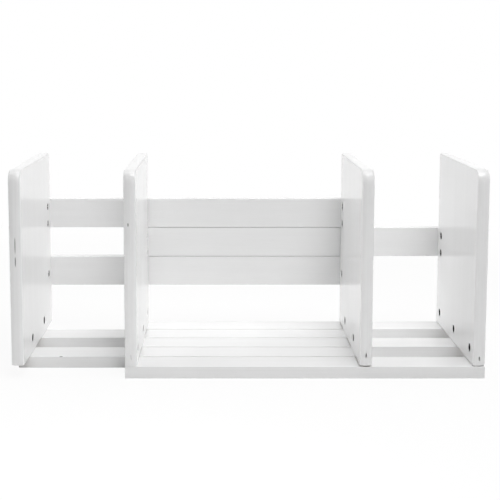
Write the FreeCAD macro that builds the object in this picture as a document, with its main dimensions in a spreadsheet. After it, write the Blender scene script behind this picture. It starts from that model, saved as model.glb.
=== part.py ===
import FreeCAD, Part
import collections
import os
import re
import Sketcher

# Expandable desktop bookshelf of white-painted boards, in millimetres.
# Two open units interleave and slide along X. The slats of each unit run under and behind the end
# panels of the other one, so the shelf grows as the units are pulled apart.
# +Z is up, the front faces -Y and the origin is the middle of the footprint, with the right unit
# pulled out as far as the photograph shows.

# Sizes that can be set by themselves: alias, value, meaning.
SIZES = (
    ("panel_thick", "12", "board of the end panels"),
    ("panel_height", "197", "end panel from its foot to its top"),
    ("slat_thick", "12", "board of the slats"),
    ("base_slat_width", "32.64", "base slat from edge to edge"),
    ("base_gap", "1.6", "between neighbouring base slats"),
    ("back_slat_width", "33.2", "back slat from edge to edge"),
    ("back_gap", "0.5", "between neighbouring back slats"),
    ("unit_length", "358", "one unit over its two panels"),
    ("pull_out", "112.5", "left end of the right unit from the left end of the left unit"),
    ("back_lift", "55.4", "desk to the lowest back slat"),
    ("front_reach", "0.6", "front of the panels before the front slat"),
    ("corner_radius", "12.5", "top front corner of a panel"),
    ("panel_crown", "1.1", "dome across the front and the top of a panel"),
    ("panel_ease", "1.4", "rounded edges of the two faces of a panel"),
    ("toe_radius", "4", "bottom front corner of a panel with a rounded foot"),
    ("slat_ease", "0.5", "rounded edges of a slat, and of the rear and foot of a panel"),
    ("run_clearance", "1.4", "panel to a slat that slides past it"),
    ("bolt_dia", "5", "shank of a connector bolt"),
    ("bolt_clearance", "0.5", "bolt hole over the shank"),
    ("bolt_margin", "7", "bolt to the long edge of a back slat that has two bolts at each end"),
    ("head_dia", "8", "flat head of a bolt"),
    ("head_height", "2.6", "flat head of a bolt"),
    ("head_chamfer", "0.5", "rim of a bolt head and end of its shank"),
    ("head_clearance", "0.6", "counterbore over the head"),
    ("head_recess", "0.8", "head below the face of its slat"),
    ("socket_width", "3", "hexagon socket across its flats"),
    ("socket_depth", "1.6", "hexagon socket in the head"),
    ("tip_length", "1.5", "bolt past its nut"),
    ("tip_room", "1", "hole past the end of the bolt"),
    ("nut_dia", "8", "cross-dowel nut"),
    ("nut_clearance", "0.6", "nut hole over the nut"),
    ("nut_inset", "15", "nut to the edge of the panel"),
    ("nut_floor", "1.8", "wood left behind a nut hole"),
    ("nut_recess", "0.4", "nut below the inner face of the panel"),
    ("thread_clearance", "0.1", "bore of the nut over the shank"),
    ("slot_width", "1.2", "screwdriver slot in the nut"),
    ("slot_depth", "1", "screwdriver slot in the nut"),
    ("pin_width", "1.3", "hanging-pin mark in the front edge of a panel"),
    ("pin_height", "4.4", "hanging-pin mark from end to end"),
    ("pin_depth", "4", "hanging-pin mark into the wood"),
    ("pin_dimple", "1.2", "hanging-pin mark that paint has filled"),
    ("pin_lift", "9.8", "foot of the panel to the middle of the mark"),
    ("pin_scatter", "1.7", "how far a mark is off the usual height"),
)

# Base slats in all, and slats from one to the next of the same unit.
BASE_SLAT_COUNT = 5
BASE_SLAT_STEP = 2

# An edge no longer than this through the board lies in one face of it.
FLAT_TOLERANCE = 0.001

# Sizes that follow from the ones above.
DERIVED = (
    ("base_pitch", "=base_slat_width + base_gap", "base slat to base slat"),
    ("back_pitch", "=back_slat_width + back_gap", "back slat to back slat"),
    ("base_depth", "=%d * base_pitch - base_gap" % BASE_SLAT_COUNT, "all base slats"),
    ("panel_depth", "=base_depth + front_reach", "panel from its front edge to the back slats"),
    ("overall_length", "=unit_length + pull_out", "both units in this pose"),
    ("overall_depth", "=panel_depth + slat_thick", "front edge to the rear of the back slats"),
    ("bolt_hole_dia", "=bolt_dia + bolt_clearance", "bolt hole in slats and panels"),
    ("counterbore_dia", "=head_dia + head_clearance", "seat for a bolt head"),
    ("counterbore_depth", "=head_height + head_recess", "seat for a bolt head"),
    ("bolt_reach", "=nut_inset + nut_dia / 2 + tip_length", "bolt inside the panel"),
    ("bolt_length", "=head_height + slat_thick - counterbore_depth + bolt_reach", "whole bolt"),
    ("nut_hole_dia", "=nut_dia + nut_clearance", "nut hole in the panel"),
    ("nut_hole_depth", "=panel_thick - nut_floor", "nut hole in the panel"),
    ("nut_length", "=nut_hole_depth - nut_recess", "nut from its slot to the floor of its hole"),
    ("back_bolt_step", "=back_slat_width - 2 * bolt_margin", "two bolts on one slat end"),
    ("socket_corners", "=socket_width / cos(30 deg)", "hexagon socket across its corners"),
)

# Places of the bolts across the width of a slat, at each of its ends.
BASE_BOLT = ("base_slat_width / 2",)
ONE_BOLT = ("back_slat_width / 2",)
TWO_BOLTS = ("bolt_margin", "back_slat_width - bolt_margin")

# start: left end of the unit. base_slats: counted from the front. back_slats: name, level counted
# from the lowest, bolts.
Unit = collections.namedtuple("Unit", "start left_panel right_panel base_slats back_slats")
LEFT_UNIT = Unit(
    start="-overall_length / 2",
    left_panel="left_outer",
    right_panel="right_inner",
    base_slats=(2, 4),
    back_slats=(("lower", 1, ONE_BOLT), ("upper", 3, TWO_BOLTS)),
)
RIGHT_UNIT = Unit(
    start="-overall_length / 2 + pull_out",
    left_panel="left_inner",
    right_panel="right_outer",
    base_slats=(1, 3, 5),
    back_slats=(("middle", 2, TWO_BOLTS),),
)

# Panels with a hanging-pin mark: its height above the foot and its depth.
Pin = collections.namedtuple("Pin", "height depth")
PINS = {
    "left_inner": Pin("pin_lift", "pin_dimple"),
    "right_inner": Pin("pin_lift + pin_scatter", "pin_depth"),
    "right_outer": Pin("pin_lift - pin_scatter", "pin_depth"),
}

# Panels whose foot is rounded like their other edges. The feet of the others are nearly square.
ROUNDED_FEET = ("right_outer",)

# A back piece is tipped so that its own Y points up and its own Z points to the front. A turned
# piece faces the other end of the shelf.
FLAT = FreeCAD.Rotation()
TIPPED = FreeCAD.Rotation(FreeCAD.Vector(1, 0, 0), 90)
TURNED = FreeCAD.Rotation(FreeCAD.Vector(0, 0, 1), 180)

doc = FreeCAD.newDocument("bookshelf")
sheet = doc.addObject("Spreadsheet::Sheet", "Sizes")
for row, (alias, content, meaning) in enumerate(SIZES + DERIVED, start=1):
    sheet.set("A%d" % row, content)
    sheet.setAlias("A%d" % row, alias)
    sheet.set("B%d" % row, meaning)
doc.recompute()
sub_parts = []


def linked(formula):
    """The formula as an expression on the cells of the sheet."""
    return re.sub(r"[a-z_]+", lambda alias: "Sizes." + alias.group(), formula)


def value(formula):
    return float(sheet.evalExpression(linked(formula)))


def base_slat_edge(number):
    """Front edge of a base slat, from the front of the panels."""
    return "front_reach + %d * base_pitch" % (number - 1)


def base_slat_middle(number):
    return base_slat_edge(number) + " + base_slat_width / 2"


def back_slat_edge(level):
    """Lower edge of a back slat above the desk."""
    return "back_lift + %d * back_pitch" % (level - 1)


def new_body(label):
    body = doc.addObject("PartDesign::Body", label)
    body.Label = label
    sub_parts.append(body)
    return body


def place(body, x, y, z, rotation):
    body.Placement = FreeCAD.Placement(FreeCAD.Vector(), rotation)
    for axis, formula in zip("xyz", (x, y, z)):
        body.setExpression(".Placement.Base." + axis, linked(formula))


def origin_feature(body, role):
    return [feature for feature in body.Origin.OriginFeatures if feature.Role == role][0]


def new_sketch(body, name, plane, offset="0"):
    sketch = body.newObject("Sketcher::SketchObject", body.Label + "_" + name)
    sketch.AttachmentSupport = [(origin_feature(body, plane), "")]
    sketch.MapMode = "FlatFace"
    sketch.setExpression(".AttachmentOffset.Base.z", linked(offset))
    return sketch


def bind(sketch, constraint, formula):
    """Adds a constraint and ties its value to the sheet."""
    index = sketch.addConstraint(constraint)
    name = "size_%d" % index
    sketch.renameConstraint(index, name)
    sketch.setExpression("Constraints." + name, linked(formula))


def pin_point(sketch, geometry, point, across, up):
    """Holds a point of a sketch at a distance from the sketch's origin."""
    bind(sketch, Sketcher.Constraint("DistanceX", -1, 1, geometry, point, value(across)), across)
    bind(sketch, Sketcher.Constraint("DistanceY", -1, 1, geometry, point, value(up)), up)


def add_polygon(sketch, corners):
    """Closed outline of straight lines. Returns the number of its first line."""
    first = sketch.GeometryCount
    for start, end in zip(corners, corners[1:] + corners[:1]):
        sketch.addGeometry(Part.LineSegment(FreeCAD.Vector(*start), FreeCAD.Vector(*end)))
    for side in range(len(corners)):
        following = first + (side + 1) % len(corners)
        sketch.addConstraint(Sketcher.Constraint("Coincident", first + side, 2, following, 1))
    return first


def add_outline(sketch, corners):
    """Closed outline whose corners are pairs of formulas."""
    first = add_polygon(sketch, [(value(across), value(up)) for across, up in corners])
    for number, (across, up) in enumerate(corners):
        pin_point(sketch, first + number, 1, across, up)


def add_rectangle(sketch, left, right, low, high):
    add_outline(sketch, ((left, low), (right, low), (right, high), (left, high)))


def add_circle(sketch, across, up, diameter):
    middle = FreeCAD.Vector(value(across), value(up))
    upright = FreeCAD.Vector(0, 0, 1)
    circle = sketch.addGeometry(Part.Circle(middle, upright, value(diameter) / 2))
    pin_point(sketch, circle, 3, across, up)
    bind(sketch, Sketcher.Constraint("Diameter", circle, value(diameter)), diameter)


def add_hexagon(sketch, across_corners):
    """Regular hexagon about the origin, held by the circle through its corners."""
    corner = FreeCAD.Vector(value(across_corners) / 2, 0)
    turns = [FreeCAD.Rotation(FreeCAD.Vector(0, 0, 1), 60 * side) for side in range(6)]
    corners = [turn.multVec(corner) for turn in turns]
    first = add_polygon(sketch, [(point.x, point.y) for point in corners])
    middle = FreeCAD.Vector()
    upright = FreeCAD.Vector(0, 0, 1)
    rim = sketch.addGeometry(Part.Circle(middle, upright, corner.x), True)
    sketch.addConstraint(Sketcher.Constraint("Coincident", rim, 3, -1, 1))
    bind(sketch, Sketcher.Constraint("Diameter", rim, 2 * corner.x), across_corners)
    for side in range(6):
        sketch.addConstraint(Sketcher.Constraint("PointOnObject", first + side, 1, rim))
    for side in range(1, 6):
        sketch.addConstraint(Sketcher.Constraint("Equal", first, first + side))
    sketch.addConstraint(Sketcher.Constraint("PointOnObject", first, 1, -1))


def pad(body, sketch, length):
    feature = body.newObject("PartDesign::Pad", sketch.Name + "_pad")
    feature.Profile = sketch
    feature.setExpression("Length", linked(length))
    doc.recompute()
    return feature


def pocket(body, sketch, depth=None, along_normal=True):
    """Cuts a sketch into the body, right through it where no depth is given."""
    before = body.Shape.Volume
    feature = body.newObject("PartDesign::Pocket", sketch.Name + "_cut")
    feature.Profile = sketch
    feature.Reversed = along_normal
    if depth is None:
        feature.Type = "ThroughAll"
    else:
        feature.setExpression("Length", linked(depth))
    doc.recompute()
    if not body.Shape.Volume < before:
        raise RuntimeError(feature.Name + " cuts nothing")
    return feature


def ease(body, base, edges, radius):
    """Rounds edges of the body, given by their numbers."""
    fillet = body.newObject("PartDesign::Fillet", body.Label + "_ease")
    fillet.Base = (base, ["Edge%d" % (number + 1) for number in edges])
    fillet.setExpression("Radius", linked(radius))
    doc.recompute()
    return fillet


def repeat(body, features, count, step):
    """Copies features of the body along its own Y."""
    if count == 1:
        return
    pattern = body.newObject("PartDesign::LinearPattern", body.Label + "_pattern")
    pattern.Originals = features
    pattern.Direction = (origin_feature(body, "Y_Axis"), [""])
    pattern.Mode = "Spacing"
    pattern.Occurrences = count
    pattern.setExpression("Offset", linked(step))
    body.Tip = pattern
    doc.recompute()


def add_crowned_section(sketch, crest, shoulder, far):
    """Section across a panel that is domed at one edge: X of the sketch runs through the board. The
    formulas are the heights of the top of the dome, of its ends and of the far edge."""
    thick = value("panel_thick")
    sides = [("0", 0), ("panel_thick", thick)]
    if value(crest) > value(far):
        sides.reverse()
    (start, start_x), (end, end_x) = sides
    top = FreeCAD.Vector(thick / 2, value(crest))
    corners = (
        FreeCAD.Vector(end_x, value(shoulder)),
        FreeCAD.Vector(end_x, value(far)),
        FreeCAD.Vector(start_x, value(far)),
        FreeCAD.Vector(start_x, value(shoulder)),
    )
    dome = sketch.addGeometry(Part.Arc(corners[3], top, corners[0]))
    lines = [
        sketch.addGeometry(Part.LineSegment(first, second))
        for first, second in zip(corners, corners[1:])
    ]
    loop = [dome] + lines
    for side, following in zip(loop, lines + [dome]):
        sketch.addConstraint(Sketcher.Constraint("Coincident", side, 2, following, 1))
    peak = sketch.addGeometry(Part.Point(top), True)
    sketch.addConstraint(Sketcher.Constraint("PointOnObject", peak, 1, dome))
    pin_point(sketch, peak, 1, "panel_thick / 2", crest)
    pin_point(sketch, lines[0], 1, end, shoulder)
    pin_point(sketch, lines[1], 1, end, far)
    pin_point(sketch, lines[2], 1, start, far)
    pin_point(sketch, dome, 1, start, shoulder)


def make_board(body):
    """Board of a panel, domed at the front, round its top front corner and along the top."""
    front = new_sketch(body, "front", "XY_Plane")
    add_crowned_section(front, "0", "panel_crown", "panel_depth")
    pad(body, front, "panel_height - corner_radius")
    corner = new_sketch(body, "corner", "XY_Plane", "panel_height - corner_radius")
    corner.setExpression(".AttachmentOffset.Base.y", linked("corner_radius"))
    add_crowned_section(corner, "-corner_radius", "panel_crown - corner_radius", "0")
    quarter = body.newObject("PartDesign::Revolution", body.Label + "_quarter")
    quarter.Profile = corner
    quarter.ReferenceAxis = (corner, ["H_Axis"])
    quarter.Angle = 90
    quarter.Reversed = True
    doc.recompute()
    top = new_sketch(body, "top", "XZ_Plane", "-panel_depth")
    low = "panel_height - corner_radius"
    add_crowned_section(top, "panel_height", "panel_height - panel_crown", low)
    return pad(body, top, "panel_depth - corner_radius")


def cut_running_reliefs(body, passing):
    """Frees the foot and the rear edge of a panel from the slats of the other unit."""
    sketch = new_sketch(body, "reliefs", "YZ_Plane")
    for number in passing.base_slats:
        edge = base_slat_edge(number)
        front = "-base_gap" if number == 1 else edge + " - base_gap / 2"
        rear = edge + " + base_slat_width + base_gap / 2"
        add_rectangle(sketch, front, rear, "-base_gap", "run_clearance")
    for name, level, bolts in passing.back_slats:
        edge = back_slat_edge(level) + " - slat_thick"
        low = edge + " - back_gap / 2"
        high = edge + " + back_slat_width + back_gap / 2"
        add_rectangle(sketch, "panel_depth - run_clearance", "panel_depth + back_gap", low, high)
    pocket(body, sketch)


def cut_fastener_holes(body, unit, turned):
    """Bolt holes from the foot and the rear edge, met by nut holes in the inner face."""
    feet = new_sketch(body, "foot_bolts", "XY_Plane")
    rears = new_sketch(body, "rear_bolts", "XZ_Plane", "-panel_depth")
    nuts = new_sketch(body, "nuts", "YZ_Plane", "0" if turned else "panel_thick")
    for number in unit.base_slats:
        along = base_slat_middle(number)
        add_circle(feet, "panel_thick / 2", along, "bolt_hole_dia")
        add_circle(nuts, along, "nut_inset", "nut_hole_dia")
    for name, level, bolts in unit.back_slats:
        for across in bolts:
            up = back_slat_edge(level) + " + " + across + " - slat_thick"
            add_circle(rears, "panel_thick / 2", up, "bolt_hole_dia")
            add_circle(nuts, "panel_depth - nut_inset", up, "nut_hole_dia")
    pocket(body, feet, "bolt_reach + tip_room")
    pocket(body, rears, "bolt_reach + tip_room")
    pocket(body, nuts, "nut_hole_depth", along_normal=turned)


def ease_panel(body, board, rounded_foot):
    """Rounds a panel round its two faces, and less at its rear and at a foot that isn't rounded."""
    depth = value("panel_depth")

    def at_toe(box):
        return box.ZMax < FLAT_TOLERANCE and box.YMax < depth / 2

    def at_end(box):
        at_rear = box.YMin > depth - FLAT_TOLERANCE
        at_foot = box.ZMax < FLAT_TOLERANCE
        return at_rear or (at_foot and not rounded_foot)

    def in_face(box):
        return box.XLength < FLAT_TOLERANCE and not at_end(box)

    def pick(shape, wanted):
        return [number for number, edge in enumerate(shape.Edges) if wanted(edge.BoundBox)]

    if rounded_foot:
        board = ease(body, board, pick(board.Shape, at_toe), "toe_radius")
    rounded = ease(body, board, pick(board.Shape, in_face), "panel_ease")
    ease(body, rounded, pick(rounded.Shape, at_end), "slat_ease")


def make_panel(name, unit, passing, turned):
    """End panel. Its own X runs through the board, Y to the rear and Z up from its foot."""
    body = new_body(name + "_panel")
    rounded_foot = name in ROUNDED_FEET
    ease_panel(body, make_board(body), rounded_foot)
    cut_running_reliefs(body, passing)
    cut_fastener_holes(body, unit, turned)
    if name in PINS:
        mark = new_sketch(body, "pin", "XZ_Plane")
        left = "panel_thick / 2 - pin_width / 2"
        right = "panel_thick / 2 + pin_width / 2"
        low = PINS[name].height + " - pin_height / 2"
        high = PINS[name].height + " + pin_height / 2"
        add_rectangle(mark, left, right, low, high)
        pocket(body, mark, PINS[name].depth, along_normal=False)
    place(body, panel_start(unit, turned), "-overall_depth / 2", "slat_thick", FLAT)


def panel_start(unit, turned):
    """Left face of a panel: a turned panel stands at the right end of its unit."""
    return unit.start + " + unit_length - panel_thick" if turned else unit.start


def make_slat(name, width, bolts):
    """Slat. Its own X runs along it and Y across it, with the bolt heads sunk into its face at Z 0."""
    body = new_body(name)
    outline = new_sketch(body, "outline", "XY_Plane")
    add_rectangle(outline, "0", "unit_length", "0", width)
    board = pad(body, outline, "slat_thick")
    ease(body, board, range(len(board.Shape.Edges)), "slat_ease")
    holes = new_sketch(body, "bolt_holes", "XY_Plane")
    seats = new_sketch(body, "head_seats", "XY_Plane")
    for along in ("panel_thick / 2", "unit_length - panel_thick / 2"):
        for across in bolts:
            add_circle(holes, along, across, "bolt_hole_dia")
            add_circle(seats, along, across, "counterbore_dia")
    pocket(body, holes)
    pocket(body, seats, "counterbore_depth")
    return body


def make_bolts(label, count, step):
    """Connector bolts in a row along Y, each with its head at Z 0 and its shank up Z."""
    body = new_body(label)
    profile = new_sketch(body, "profile", "XZ_Plane")
    add_outline(profile, (
        ("0", "0"),
        ("head_dia / 2 - head_chamfer", "0"),
        ("head_dia / 2", "head_chamfer"),
        ("head_dia / 2", "head_height"),
        ("bolt_dia / 2", "head_height"),
        ("bolt_dia / 2", "bolt_length - head_chamfer"),
        ("bolt_dia / 2 - head_chamfer", "bolt_length"),
        ("0", "bolt_length"),
    ))
    turned = body.newObject("PartDesign::Revolution", label + "_turned")
    turned.Profile = profile
    turned.ReferenceAxis = (profile, ["V_Axis"])
    turned.Angle = 360
    doc.recompute()
    socket = new_sketch(body, "socket", "XY_Plane")
    add_hexagon(socket, "socket_corners")
    socket_cut = pocket(body, socket, "socket_depth")
    repeat(body, [turned, socket_cut], count, step)
    return body


def make_nuts(label, count, step):
    """Cross-dowel nuts in a row along Y, each lying along X with its slotted end away from X 0."""
    body = new_body(label)
    rim = new_sketch(body, "rim", "YZ_Plane")
    add_circle(rim, "0", "0", "nut_dia")
    barrel = pad(body, rim, "nut_length")
    bore = new_sketch(body, "bore", "XY_Plane", "-nut_dia / 2")
    add_circle(bore, "panel_thick / 2 - nut_floor", "0", "bolt_dia + thread_clearance")
    bore_cut = pocket(body, bore)
    slot = new_sketch(body, "slot", "YZ_Plane", "nut_length")
    add_rectangle(slot, "-slot_width / 2", "slot_width / 2", "-nut_dia", "nut_dia")
    slot_cut = pocket(body, slot, "slot_depth", along_normal=False)
    repeat(body, [barrel, bore_cut, slot_cut], count, step)
    return body


def make_fasteners(name, unit, turned):
    """Bolts and nuts of one panel: a row for its base slats and one for each of its back slats."""
    inner = "nut_hole_depth" if turned else "panel_thick - nut_hole_depth"
    bolt_x = panel_start(unit, turned) + " + panel_thick / 2"
    nut_x = panel_start(unit, turned) + " + " + inner
    facing = TURNED if turned else FLAT
    count = len(unit.base_slats)
    step = "%d * base_pitch" % BASE_SLAT_STEP
    bolt_y = "-overall_depth / 2 + " + base_slat_middle(unit.base_slats[0])
    nut_y = "-overall_depth / 2 + " + base_slat_middle(unit.base_slats[-1 if turned else 0])
    place(make_bolts(name + "_base_bolts", count, step), bolt_x, bolt_y, "head_recess", FLAT)
    place(make_nuts(name + "_base_nuts", count, step), nut_x, nut_y, "slat_thick + nut_inset", facing)
    for slat, level, rows in unit.back_slats:
        label = name + "_" + slat + "_slat"
        bolt_z = back_slat_edge(level) + " + " + rows[0]
        nut_z = back_slat_edge(level) + " + " + rows[-1 if turned else 0]
        bolts = make_bolts(label + "_bolts", len(rows), "back_bolt_step")
        nuts = make_nuts(label + "_nuts", len(rows), "back_bolt_step")
        place(bolts, bolt_x, "overall_depth / 2 - head_recess", bolt_z, TIPPED)
        rear = "overall_depth / 2 - slat_thick - nut_inset"
        place(nuts, nut_x, rear, nut_z, TIPPED.multiply(facing))


def make_unit(unit, passing):
    """One sliding unit, cleared for the slats of the unit that passes it."""
    for name, turned in ((unit.left_panel, False), (unit.right_panel, True)):
        make_panel(name, unit, passing, turned)
        make_fasteners(name, unit, turned)
    for number in unit.base_slats:
        slat = make_slat("base_slat_%d" % number, "base_slat_width", BASE_BOLT)
        place(slat, unit.start, "-overall_depth / 2 + " + base_slat_edge(number), "0", FLAT)
    for name, level, bolts in unit.back_slats:
        slat = make_slat(name + "_back_slat", "back_slat_width", bolts)
        place(slat, unit.start, "overall_depth / 2", back_slat_edge(level), TIPPED)


make_unit(LEFT_UNIT, RIGHT_UNIT)
make_unit(RIGHT_UNIT, LEFT_UNIT)
doc.recompute()

failed = [item.Name for item in doc.Objects if {"Invalid", "Error"} & set(item.State)]
failed += [body.Label for body in sub_parts if body.Shape.isNull() or not body.Shape.isValid()]
if failed:
    raise RuntimeError("not built: " + ", ".join(failed))

os.makedirs("parts", exist_ok=True)
for body in sub_parts:
    body.Shape.exportStep("parts/" + body.Label + ".step")
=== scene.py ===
import collections
import math

import bpy
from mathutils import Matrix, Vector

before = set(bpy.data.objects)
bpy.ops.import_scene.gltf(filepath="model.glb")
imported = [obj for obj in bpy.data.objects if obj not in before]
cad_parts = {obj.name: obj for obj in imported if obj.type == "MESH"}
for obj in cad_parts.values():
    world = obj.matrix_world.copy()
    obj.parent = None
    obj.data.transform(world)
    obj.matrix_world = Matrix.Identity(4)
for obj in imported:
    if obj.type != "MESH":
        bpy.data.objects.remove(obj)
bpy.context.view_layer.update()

AXES = "XYZ"

# Sockets of a Mix node that mixes colours.
MIX_A = 6
MIX_B = 7
MIX_RESULT = 2

# Most of a noise lies between these values.
NOISE_LOW = 0.3
NOISE_HIGH = 0.7

# The edge mask: samples, and the likeness of the rounded and the flat normal where it is 0 and 1.
EDGE_SAMPLES = 6
EDGE_LIKENESS = (1.0, 0.8)

# Share of an ellipsoid's half sizes inside which its mask is 1.
BALL_CORE = 0.6

# Rays that show the surroundings: straight from the camera, or by way of metal or glass.
SHOWING_RAYS = ("Is Camera Ray", "Is Glossy Ray", "Is Transmission Ray")

# A noise pattern: the size of its features in metres along and across the grain, its octaves of finer
# detail, how strong these are, and where in the noise it starts.
Pattern = collections.namedtuple(
    "Pattern", "length across detail roughness offset", defaults=(2.0, 0.5, (0.0, 0.0, 0.0))
)


class Graph:
    """The node tree of a material or world, with short calls that add nodes and join them."""

    def __init__(self, owner):
        owner.use_nodes = True
        self.tree = owner.node_tree
        self.tree.nodes.clear()

    def feed(self, socket, value):
        if isinstance(value, bpy.types.NodeSocket):
            self.tree.links.new(value, socket)
        else:
            socket.default_value = value

    def add(self, kind, inputs=None, **settings):
        """Adds a node. inputs maps a socket's name or number to a value or to another socket."""
        made = self.tree.nodes.new(kind)
        for name, value in settings.items():
            setattr(made, name, value)
        for key, value in (inputs or {}).items():
            self.feed(made.inputs[key], value)
        return made

    def math(self, operation, a, b=0.0):
        return self.add("ShaderNodeMath", {0: a, 1: b}, operation=operation).outputs[0]

    def total(self, first, *others):
        for other in others:
            first = self.math("ADD", first, other)
        return first

    def span(self, value, low, high, to_low=0.0, to_high=1.0, smooth=False):
        """Maps low..high to to_low..to_high and stops at both ends."""
        made = self.add(
            "ShaderNodeMapRange",
            {"Value": value, "From Min": low, "From Max": high, "To Min": to_low, "To Max": to_high},
            interpolation_type="SMOOTHSTEP" if smooth else "LINEAR",
        )
        return made.outputs["Result"]

    def spread(self, noise, to_low, to_high):
        """Maps the usual values of a noise to to_low..to_high."""
        return self.span(noise, NOISE_LOW, NOISE_HIGH, to_low, to_high)

    def mix(self, factor, a, b):
        """Colour a where factor is 0, b where it is 1."""
        made = self.add("ShaderNodeMix", {"Factor": factor}, data_type="RGBA")
        self.feed(made.inputs[MIX_A], a)
        self.feed(made.inputs[MIX_B], b)
        return made.outputs[MIX_RESULT]

    def stretched(self, sizes, offset):
        """The object's own coordinates in metres, divided by the size of a feature on each axis."""
        place = self.add("ShaderNodeTexCoord").outputs["Object"]
        made = self.add(
            "ShaderNodeMapping",
            {"Vector": place, "Location": offset, "Scale": tuple(1 / size for size in sizes)},
        )
        return made.outputs["Vector"]

    def noise(self, pattern, axis="X"):
        """A noise with its features along an axis of the object."""
        sizes = tuple(pattern.length if each == axis else pattern.across for each in AXES)
        made = self.add(
            "ShaderNodeTexNoise",
            {"Vector": self.stretched(sizes, pattern.offset), "Scale": 1.0, "Detail": pattern.detail,
             "Roughness": pattern.roughness},
        )
        return made.outputs["Fac"]

    def bump(self, height, depth, normal=None):
        """Relief of the given depth in metres where height runs from 0 to 1."""
        inputs = {"Height": height, "Strength": 1.0, "Distance": depth}
        if normal is not None:
            inputs["Normal"] = normal
        return self.add("ShaderNodeBump", inputs).outputs["Normal"]

    def edges(self, radius):
        """1 on an edge or corner of the surface, falling to 0 about a radius away from it."""
        rounded = self.add("ShaderNodeBevel", {"Radius": radius}, samples=EDGE_SAMPLES).outputs["Normal"]
        flat = self.add("ShaderNodeNewGeometry").outputs["True Normal"]
        likeness = self.add("ShaderNodeVectorMath", {0: rounded, 1: flat}, operation="DOT_PRODUCT")
        return self.span(likeness.outputs["Value"], *EDGE_LIKENESS)

    def turned_to(self, axis):
        """1 where the surface faces along an axis of the object, -1 where it faces the other way."""
        normal = self.add("ShaderNodeTexCoord").outputs["Normal"]
        return self.add("ShaderNodeSeparateXYZ", {"Vector": normal}).outputs[axis]

    def facing(self, axis):
        """1 where the surface faces along an axis of the object, to either side."""
        return self.math("ABSOLUTE", self.turned_to(axis))

    def ball(self, centre, half_sizes):
        """1 inside an ellipsoid, fading to 0 at its skin."""
        offset = tuple(-c / s for c, s in zip(centre, half_sizes))
        place = self.stretched(half_sizes, offset)
        reach = self.add("ShaderNodeVectorMath", {0: place}, operation="LENGTH").outputs["Value"]
        return self.span(reach, 1.0, BALL_CORE, smooth=True)

    def surface(self, shader, kind="ShaderNodeOutputMaterial"):
        self.add(kind, {"Surface": shader})


# Colours of the paint, of a knock in it, of the painted shade on a panel's rounded top edges and under
# its foot, and how strongly the paint refracts.
PAINT_WHITE = (0.955, 0.955, 0.955, 1.0)
PAINT_SHADE = (0.88, 0.88, 0.88, 1.0)
PAINT_END_GRAIN = (0.83, 0.83, 0.83, 1.0)
PAINT_WORN = (0.82, 0.82, 0.815, 1.0)
PAINTED_EDGE_SHADE = (0.66, 0.66, 0.655, 1.0)
PAINT_STREAK = (0.90, 0.90, 0.90, 1.0)
KNOCK_DARK = (0.30, 0.29, 0.28, 1.0)
PAINTED_FOOT_SHADE = (0.36, 0.32, 0.27, 1.0)
PAINT_IOR = 1.5

# Patterns in the paint. For some of them, the noise values where the mask is 0 and 1.
FIBRES = Pattern(0.045, 0.0009, detail=3.0, roughness=0.6)
PORES = Pattern(0.009, 0.0005, detail=1.0)
PORE_LIMITS = (0.60, 0.72)
BANDS = Pattern(0.30, 0.010, offset=(3.1, 7.7, 1.9))
PEEL = Pattern(0.0022, 0.0022, detail=1.0)
CLOUDS = Pattern(0.07, 0.07, offset=(0.4, 2.2, 5.8))
RUBS = Pattern(0.02, 0.006, detail=3.0)
RUB_LIMITS = (0.45, 0.75)
STREAKS = Pattern(0.16, 0.0018, offset=(5.2, 0.7, 8.3))
STREAK_LIMITS = (0.35, 0.65)

# How far each pattern takes the paint towards its shade.
FIBRE_SHADE = 0.25
BAND_SHADE = 0.25
CLOUD_SHADE = 0.20
PORE_SHADE = 0.20

# Roughness of the paint, and what is added to it.
PAINT_ROUGHNESS = (0.12, 0.16)
FIBRE_ROUGHNESS = 0.03
END_GRAIN_ROUGHNESS = 0.22
WORN_ROUGHNESS = -0.05
EDGE_SHADE_ROUGHNESS = 0.2
FOOT_SHADE_ROUGHNESS = 0.4

# Relief of the paint and radius of its worn edges, in metres.
BAND_DEPTH = 0.000015
PEEL_DEPTH = 0.000006
FIBRE_DEPTH = 0.00001
PORE_DEPTH = 0.000006
KNOCK_DEPTH = 0.0003
PAINT_EDGE = 0.0012

# How much the surface faces along an axis where a mask is 0 and 1: the grain's axis for the end grain, X
# for the narrow sides and the rounded edges of a panel, and Z for its top and its foot.
END_GRAIN_FACING = (0.78, 0.90)
NARROW_SIDE_FACING = (0.6, 0.4)
EDGE_OFF_SIDE = (0.4, 0.7)
EDGE_OFF_FACE = (1.0, 0.8)
TOP_FACING = (0.2, 0.5)
FOOT_FACING = (-0.93, -0.99)


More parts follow.
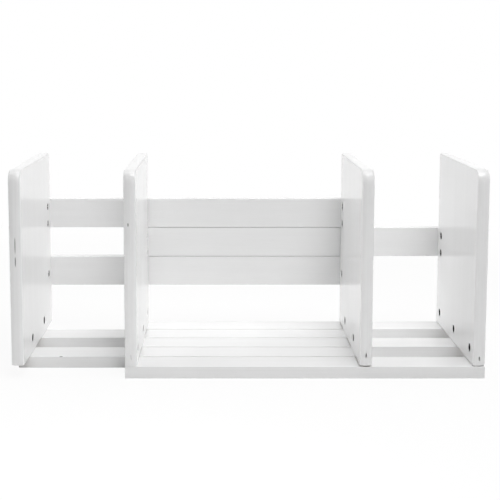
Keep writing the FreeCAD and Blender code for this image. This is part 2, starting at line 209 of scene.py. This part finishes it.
def painted_wood(name, axis, knocks=(), upright=False):
    """Satin white paint on a board, with the grain along one axis telegraphing through it.

    Each knock is the centre and half sizes of a small dent in the paint. The narrow sides of an upright
    board are streaked along the grain, its rounded edges at the top are darkened as painted shade, and
    its foot is painted dark as shade for the gaps under it."""
    material = bpy.data.materials.new(name)
    g = Graph(material)
    fibres = g.noise(FIBRES, axis)
    pores = g.span(g.noise(PORES, axis), *PORE_LIMITS)
    bands = g.noise(BANDS, axis)
    peel = g.noise(PEEL)
    clouds = g.noise(CLOUDS)
    end_grain = g.span(g.facing(axis), *END_GRAIN_FACING)
    edge = g.edges(PAINT_EDGE)
    worn = g.math("MULTIPLY", edge, g.span(g.noise(RUBS, axis), *RUB_LIMITS))

    shade = g.total(
        g.spread(fibres, 0.0, FIBRE_SHADE),
        g.spread(bands, 0.0, BAND_SHADE),
        g.spread(clouds, 0.0, CLOUD_SHADE),
        g.math("MULTIPLY", pores, PORE_SHADE),
    )
    colour = g.mix(shade, PAINT_WHITE, PAINT_SHADE)
    colour = g.mix(end_grain, colour, PAINT_END_GRAIN)
    colour = g.mix(worn, colour, PAINT_WORN)
    roughness = g.total(
        g.spread(clouds, *PAINT_ROUGHNESS),
        g.spread(fibres, 0.0, FIBRE_ROUGHNESS),
        g.math("MULTIPLY", end_grain, END_GRAIN_ROUGHNESS),
        g.math("MULTIPLY", worn, WORN_ROUGHNESS),
    )
    normal = g.bump(bands, BAND_DEPTH)
    normal = g.bump(peel, PEEL_DEPTH, normal)
    normal = g.bump(fibres, FIBRE_DEPTH, normal)
    normal = g.bump(g.math("SUBTRACT", 1.0, pores), PORE_DEPTH, normal)
    if upright:
        across = g.facing("X")
        up = g.turned_to("Z")
        narrow_side = g.span(across, *NARROW_SIDE_FACING)
        streaks = g.span(g.noise(STREAKS, axis), *STREAK_LIMITS)
        colour = g.mix(g.math("MULTIPLY", narrow_side, streaks), colour, PAINT_STREAK)
        rounding = g.math("MULTIPLY", g.span(across, *EDGE_OFF_SIDE), g.span(across, *EDGE_OFF_FACE))
        # Painted shade: the rounded edges along the top of a panel get a darker colour and more
        # roughness.
        painted_edge_shade = g.math("MULTIPLY", rounding, g.span(up, *TOP_FACING))
        colour = g.mix(painted_edge_shade, colour, PAINTED_EDGE_SHADE)
        # Painted shade: the foot and the reliefs under it, facing down, are coloured dark so the gaps
        # under the panel look shaded.
        foot = g.span(up, *FOOT_FACING)
        colour = g.mix(foot, colour, PAINTED_FOOT_SHADE)
        roughness = g.total(
            roughness,
            g.math("MULTIPLY", painted_edge_shade, EDGE_SHADE_ROUGHNESS),
            g.math("MULTIPLY", foot, FOOT_SHADE_ROUGHNESS),
        )
    for centre, half_sizes in knocks:
        dent = g.ball(centre, half_sizes)
        colour = g.mix(dent, colour, KNOCK_DARK)
        normal = g.bump(g.math("SUBTRACT", 1.0, dent), KNOCK_DEPTH, normal)

    shader = g.add(
        "ShaderNodeBsdfPrincipled",
        {"Base Color": colour, "Roughness": roughness, "IOR": PAINT_IOR, "Normal": normal},
    )
    g.surface(shader.outputs["BSDF"])
    return material


# Colours of the blackened steel, and of the worn edges of bolts and nuts.
STEEL_DARK = (0.010, 0.010, 0.011, 1.0)
STEEL_PALE = (0.024, 0.023, 0.025, 1.0)
STEEL_TINT = (0.25, 0.25, 0.26, 1.0)
BOLT_WORN = (0.10, 0.098, 0.095, 1.0)
NUT_WORN = (0.035, 0.034, 0.033, 1.0)

# Patterns in the steel, its relief and the radius of its worn edges in metres. The wear goes from the
# smaller share to the larger between two values of the blotches, and makes the steel smoother.
TURNING_MARKS = Pattern(0.0040, 0.00025, detail=3.0, roughness=0.7)
BLOTCHES = Pattern(0.0025, 0.0025, detail=3.0)
STEEL_GRAIN = Pattern(0.00035, 0.00035, detail=1.0)
TURNING_DEPTH = 0.000015
STEEL_GRAIN_DEPTH = 0.000008
STEEL_EDGE = 0.00025
WEAR_LIMITS = (0.35, 0.65)
WEAR_SHARES = (0.15, 0.75)
WEAR_ROUGHNESS = -0.08


def black_steel(name, metallic, specular, worn, smooth, rough):
    """Blackened steel with fine turning marks and edges of the worn colour.

    Its roughness goes from smooth to rough over the turning marks."""
    material = bpy.data.materials.new(name)
    g = Graph(material)
    marks = g.noise(TURNING_MARKS)
    blotches = g.noise(BLOTCHES)
    grain = g.noise(STEEL_GRAIN)
    edge = g.edges(STEEL_EDGE)
    wear = g.math("MULTIPLY", edge, g.span(blotches, *WEAR_LIMITS, *WEAR_SHARES))
    colour = g.mix(g.spread(blotches, 0.0, 1.0), STEEL_DARK, STEEL_PALE)
    colour = g.mix(wear, colour, worn)
    roughness = g.total(g.spread(marks, smooth, rough), g.math("MULTIPLY", wear, WEAR_ROUGHNESS))
    normal = g.bump(marks, TURNING_DEPTH)
    normal = g.bump(grain, STEEL_GRAIN_DEPTH, normal)
    shader = g.add(
        "ShaderNodeBsdfPrincipled",
        {"Base Color": colour, "Metallic": metallic, "Roughness": roughness, "Normal": normal,
         "Specular IOR Level": specular, "Specular Tint": STEEL_TINT},
    )
    g.surface(shader.outputs["BSDF"])
    return material


# Knocks in the paint of a node: the centre and half sizes of each, in metres. A panel's are in its front
# edge.
PANEL_FRONT = -0.0911
KNOCKS = {
    "base_slat_2": (((-0.1916, -0.0564, 0.0118), (0.0024, 0.0008, 0.0006)),),
    "left_inner_panel": (((-0.1183, PANEL_FRONT, 0.1548), (0.0007, 0.0007, 0.0022)),),
    "left_outer_panel": (
        ((-0.2293, PANEL_FRONT, 0.118), (0.0006, 0.0006, 0.006)),
        ((-0.2293, PANEL_FRONT, 0.134), (0.0005, 0.0005, 0.010)),
    ),
}

# Materials for the nodes: the panels' grain stands upright, the slats' runs along them.
bolt_steel = black_steel(
    "bolt_steel", metallic=0.9, specular=0.15, worn=BOLT_WORN, smooth=0.38, rough=0.55
)
nut_steel = black_steel(
    "nut_steel", metallic=0.0, specular=0.0, worn=NUT_WORN, smooth=0.78, rough=0.92
)
for name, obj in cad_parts.items():
    if name.endswith("_bolts"):
        finish = bolt_steel
    elif name.endswith("_nuts"):
        finish = nut_steel
    elif name.endswith("_panel"):
        finish = painted_wood(name + "_paint", "Z", KNOCKS.get(name, ()), upright=True)
    else:
        finish = painted_wood(name + "_paint", "X", KNOCKS.get(name, ()))
    for entry in obj.material_slots:
        entry.material = finish


def shown_white(g):
    """1 for the rays that show the surroundings, straight or in a reflection."""
    path = g.add("ShaderNodeLightPath")
    first, *others = (path.outputs[kind] for kind in SHOWING_RAYS)
    for other in others:
        first = g.math("MAXIMUM", first, other)
    return first


def outward(azimuth, elevation):
    """The direction from the object to a light. Azimuth 0 is in front and 90 on the right."""
    turn = math.radians(azimuth)
    lift = math.radians(elevation)
    return Vector((
        math.cos(lift) * math.sin(turn), -math.cos(lift) * math.cos(turn), math.sin(lift)
    ))


# Surroundings: white to look at, with soft light from both sides of the back. Each glow is the azimuth,
# elevation and strength of its middle, and a higher focus makes it narrower.
WHITE = (1.0, 1.0, 1.0, 1.0)
GLOWS = ((135.0, 5.0, 1.96), (225.0, 5.0, 1.48))
GLOW_FOCUS = 4.0
world = bpy.data.worlds.new("studio")
bpy.context.scene.world = world
sky = Graph(world)
way = sky.add("ShaderNodeTexCoord").outputs["Generated"]
glows = []
for azimuth, elevation, strength in GLOWS:
    toward = {0: way, 1: outward(azimuth, elevation)}
    likeness = sky.add("ShaderNodeVectorMath", toward, operation="DOT_PRODUCT").outputs["Value"]
    near = sky.math("POWER", sky.math("MAXIMUM", likeness, 0.0), GLOW_FOCUS)
    glows.append(sky.math("MULTIPLY", near, strength))
lit = sky.add("ShaderNodeBackground", {"Color": WHITE, "Strength": sky.total(*glows)})
seen = sky.add("ShaderNodeBackground", {"Color": WHITE, "Strength": 1.0})
both = sky.add(
    "ShaderNodeMixShader",
    {0: shown_white(sky), 1: lit.outputs["Background"], 2: seen.outputs["Background"]},
)
sky.surface(both.outputs["Shader"], "ShaderNodeOutputWorld")

# Floor: a pale mottled sheet that shows nearly white and keeps a faint shadow. Past the shadow's reach it
# whitens, and it is pure white where it is clear, both in metres from the middle.
FLOOR_HALF = 6.0
FLOOR_COLOUR = (0.90, 0.90, 0.90, 1.0)
FLOOR_PALE = (0.92, 0.92, 0.92, 1.0)
FLOOR_MOTTLE = Pattern(0.4, 0.4)
FLOOR_WHITENESS = 0.90
SHADOW_REACH = 0.45
CLEAR_FROM = 0.9
bpy.ops.mesh.primitive_plane_add(size=2 * FLOOR_HALF, location=(0.0, 0.0, 0.0))
floor = bpy.context.object
floor.name = "floor"
sheet = bpy.data.materials.new("floor")
g = Graph(sheet)
pale = g.mix(g.noise(FLOOR_MOTTLE), FLOOR_COLOUR, FLOOR_PALE)
matt = g.add("ShaderNodeBsdfDiffuse", {"Color": pale})
glow = g.add("ShaderNodeEmission", {"Color": WHITE, "Strength": 1.0})
place = g.add("ShaderNodeTexCoord").outputs["Object"]
away = g.add("ShaderNodeVectorMath", {0: place}, operation="LENGTH").outputs["Value"]
clear = g.span(away, SHADOW_REACH, CLEAR_FROM, FLOOR_WHITENESS, 1.0, smooth=True)
whiteness = g.math("MULTIPLY", shown_white(g), clear)
both = g.add(
    "ShaderNodeMixShader",
    {0: whiteness, 1: matt.outputs["BSDF"], 2: glow.outputs["Emission"]},
)
g.surface(both.outputs["Shader"])
floor.data.materials.append(sheet)

# Lamps: a key high in front, others above, at the sides, behind on the left and low in front, and one
# close over the floor in front, which it brightens. Angles in degrees, distance and size in metres,
# power in watts.
Lamp = collections.namedtuple("Lamp", "azimuth elevation distance size power")
LAMPS = {
    "key": Lamp(17.0, 62.0, 2.0, 0.6, 11.1),
    "overhead": Lamp(0.0, 90.0, 2.1, 1.0, 9.2),
    "right_high": Lamp(60.0, 62.0, 2.0, 0.6, 6.8),
    "right": Lamp(90.0, 36.0, 2.1, 0.8, 1.7),
    "left_high": Lamp(270.0, 62.0, 2.0, 0.6, 2.5),
    "left": Lamp(270.0, 36.0, 2.1, 0.8, 3.4),
    "back_left": Lamp(225.0, 36.0, 2.1, 0.8, 2.2),
    "front": Lamp(15.0, 12.0, 2.0, 0.6, 2.55),
}
FLOOR_LAMP = Lamp(0.0, 90.0, 0.15, 0.3, 0.26)
OBJECT_MIDDLE = Vector((0.0, 0.0, 0.1))
FLOOR_FRONT = Vector((-0.09, -0.42, 0.0))


def area_lamp(name, lamp, aim):
    """A soft square lamp, turned to the point that it is aimed at."""
    data = bpy.data.lights.new(name, "AREA")
    data.shape = "SQUARE"
    data.size = lamp.size
    data.energy = lamp.power
    obj = bpy.data.objects.new(name, data)
    out = outward(lamp.azimuth, lamp.elevation)
    obj.location = aim + out * lamp.distance
    obj.rotation_euler = (-out).to_track_quat("-Z", "Y").to_euler()
    obj.visible_camera = False
    bpy.context.scene.collection.objects.link(obj)


for name, lamp in LAMPS.items():
    area_lamp(name, lamp, OBJECT_MIDDLE)
area_lamp("front_floor", FLOOR_LAMP, FLOOR_FRONT)

# Camera: the photograph's, in front and a little above, with part of its drop as shift.
LENS = 71.617
SENSOR_WIDTH = 36.0
SHIFT_RIGHT = 0.0617
SHIFT_DOWN = 0.18
TILT_DOWN = 6.041
CAMERA_PLACE = (-0.02905, -1.05202, 0.32042)
lens = bpy.data.cameras.new("camera")
lens.lens = LENS
lens.sensor_width = SENSOR_WIDTH
lens.shift_x = SHIFT_RIGHT
lens.shift_y = -SHIFT_DOWN
camera = bpy.data.objects.new("camera", lens)
camera.location = CAMERA_PLACE
camera.rotation_euler = (math.radians(90.0 - TILT_DOWN), 0.0, 0.0)
bpy.context.scene.collection.objects.link(camera)
bpy.context.scene.camera = camera
bpy.context.scene.view_settings.view_transform = "Standard"
